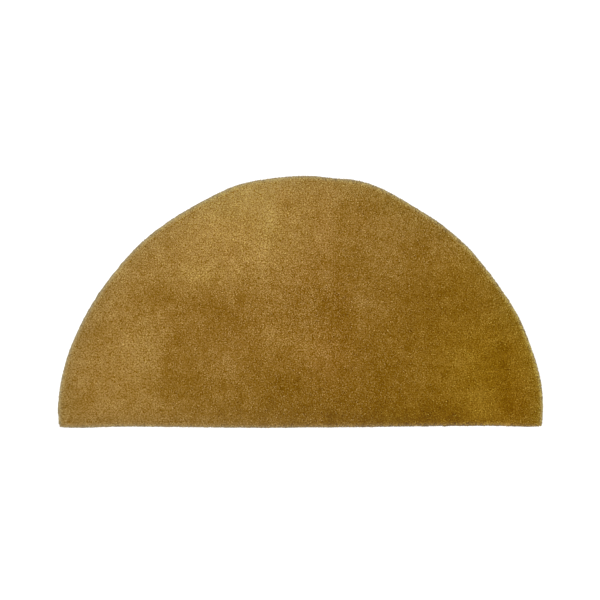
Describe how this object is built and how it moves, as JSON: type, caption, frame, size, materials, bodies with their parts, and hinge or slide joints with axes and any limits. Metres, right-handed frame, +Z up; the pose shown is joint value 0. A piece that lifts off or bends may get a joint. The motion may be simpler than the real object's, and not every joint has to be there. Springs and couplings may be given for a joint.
{
  "type": "half round hearth rug",
  "caption": "Flat half round hearth rug of dense cut wool pile in plain gold, with no border or binding, for the floor in front of a fireplace.",
  "frame": {"origin": "on the floor, under the middle of the rug's bounding box", "axes": "+Z up; X runs along the straight edge; the straight edge is on the -Y side and the round edge faces +Y"},
  "size_m": [1.2192, 0.6334, 0.012],
  "materials": {
    "gold_wool_pile": "matt cut wool pile with soft lighter and darker patches where the pile lies over"
  },
  "bodies": {
    "root": {"rug": "gold_wool_pile"}
  },
  "joints": []
}
